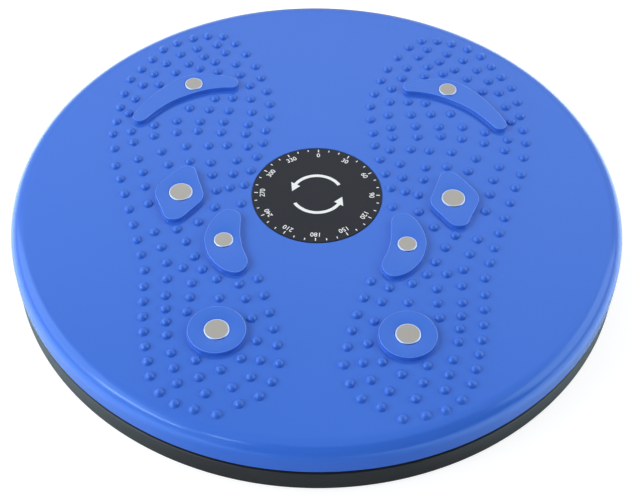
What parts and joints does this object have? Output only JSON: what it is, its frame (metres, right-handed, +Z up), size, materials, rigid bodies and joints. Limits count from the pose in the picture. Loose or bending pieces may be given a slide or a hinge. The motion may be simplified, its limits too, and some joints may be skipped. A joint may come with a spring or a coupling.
{
  "type": "waist twisting disc",
  "caption": "Round standing platform with foot-shaped fields of massage dots and magnets, turning freely on a ball race over a base with rubber feet.",
  "frame": {"origin": "on the floor under the centre of the disc, on the axis that the platform turns about", "axes": "+Z up along the turning axis; +Y towards the toes of the two soles; +X towards the right sole"},
  "size_m": [0.3, 0.3, 0.0318],
  "materials": {
    "blue_plastic": "smooth satin-gloss blue moulding",
    "black_plastic": "satin near-black moulding",
    "label_film": "satin black film",
    "magnet": "satin nickel-plated",
    "steel": "zinc-plated",
    "ball_steel": "polished",
    "nylon": "natural matte",
    "rubber": "matt black"
  },
  "bodies": {
    "base": {"base_plate": "black_plastic", "rubber_foot_01": "rubber", "rubber_foot_02": "rubber", "rubber_foot_03": "rubber", "rubber_foot_04": "rubber", "rubber_foot_05": "rubber", "rubber_foot_06": "rubber", "pivot_bolt": "steel", "pivot_sleeve": "nylon", "pivot_washer": "steel", "pivot_nut": "steel"},
    "bearing": {"ball_cage": "nylon", "race_ball_01": "ball_steel", "race_ball_02": "ball_steel", "race_ball_03": "ball_steel", "race_ball_04": "ball_steel", "race_ball_05": "ball_steel", "race_ball_06": "ball_steel", "race_ball_07": "ball_steel", "race_ball_08": "ball_steel", "race_ball_09": "ball_steel", "race_ball_10": "ball_steel", "race_ball_11": "ball_steel", "race_ball_12": "ball_steel"},
    "platform": {"platform_plate": "blue_plastic", "toe_magnet_right": "magnet", "toe_magnet_left": "magnet", "mid_magnet_right": "magnet", "mid_magnet_left": "magnet", "arch_magnet_right": "magnet", "arch_magnet_left": "magnet", "heel_magnet_right": "magnet", "heel_magnet_left": "magnet", "centre_label": "label_film"}
  },
  "joints": [
    {"name": "platform_spin", "type": "hinge", "parent": "base", "child": "platform", "pos_m": [0, 0, 0], "axis": [0, 0, 1], "continuous": true},
    {"name": "cage_orbit", "type": "hinge", "parent": "base", "child": "bearing", "pos_m": [0, 0, 0], "axis": [0, 0, 1], "continuous": true}
  ],
  "couplings": [
    {"joint": "cage_orbit", "follows": "platform_spin", "ratio": 0.5}
  ]
}
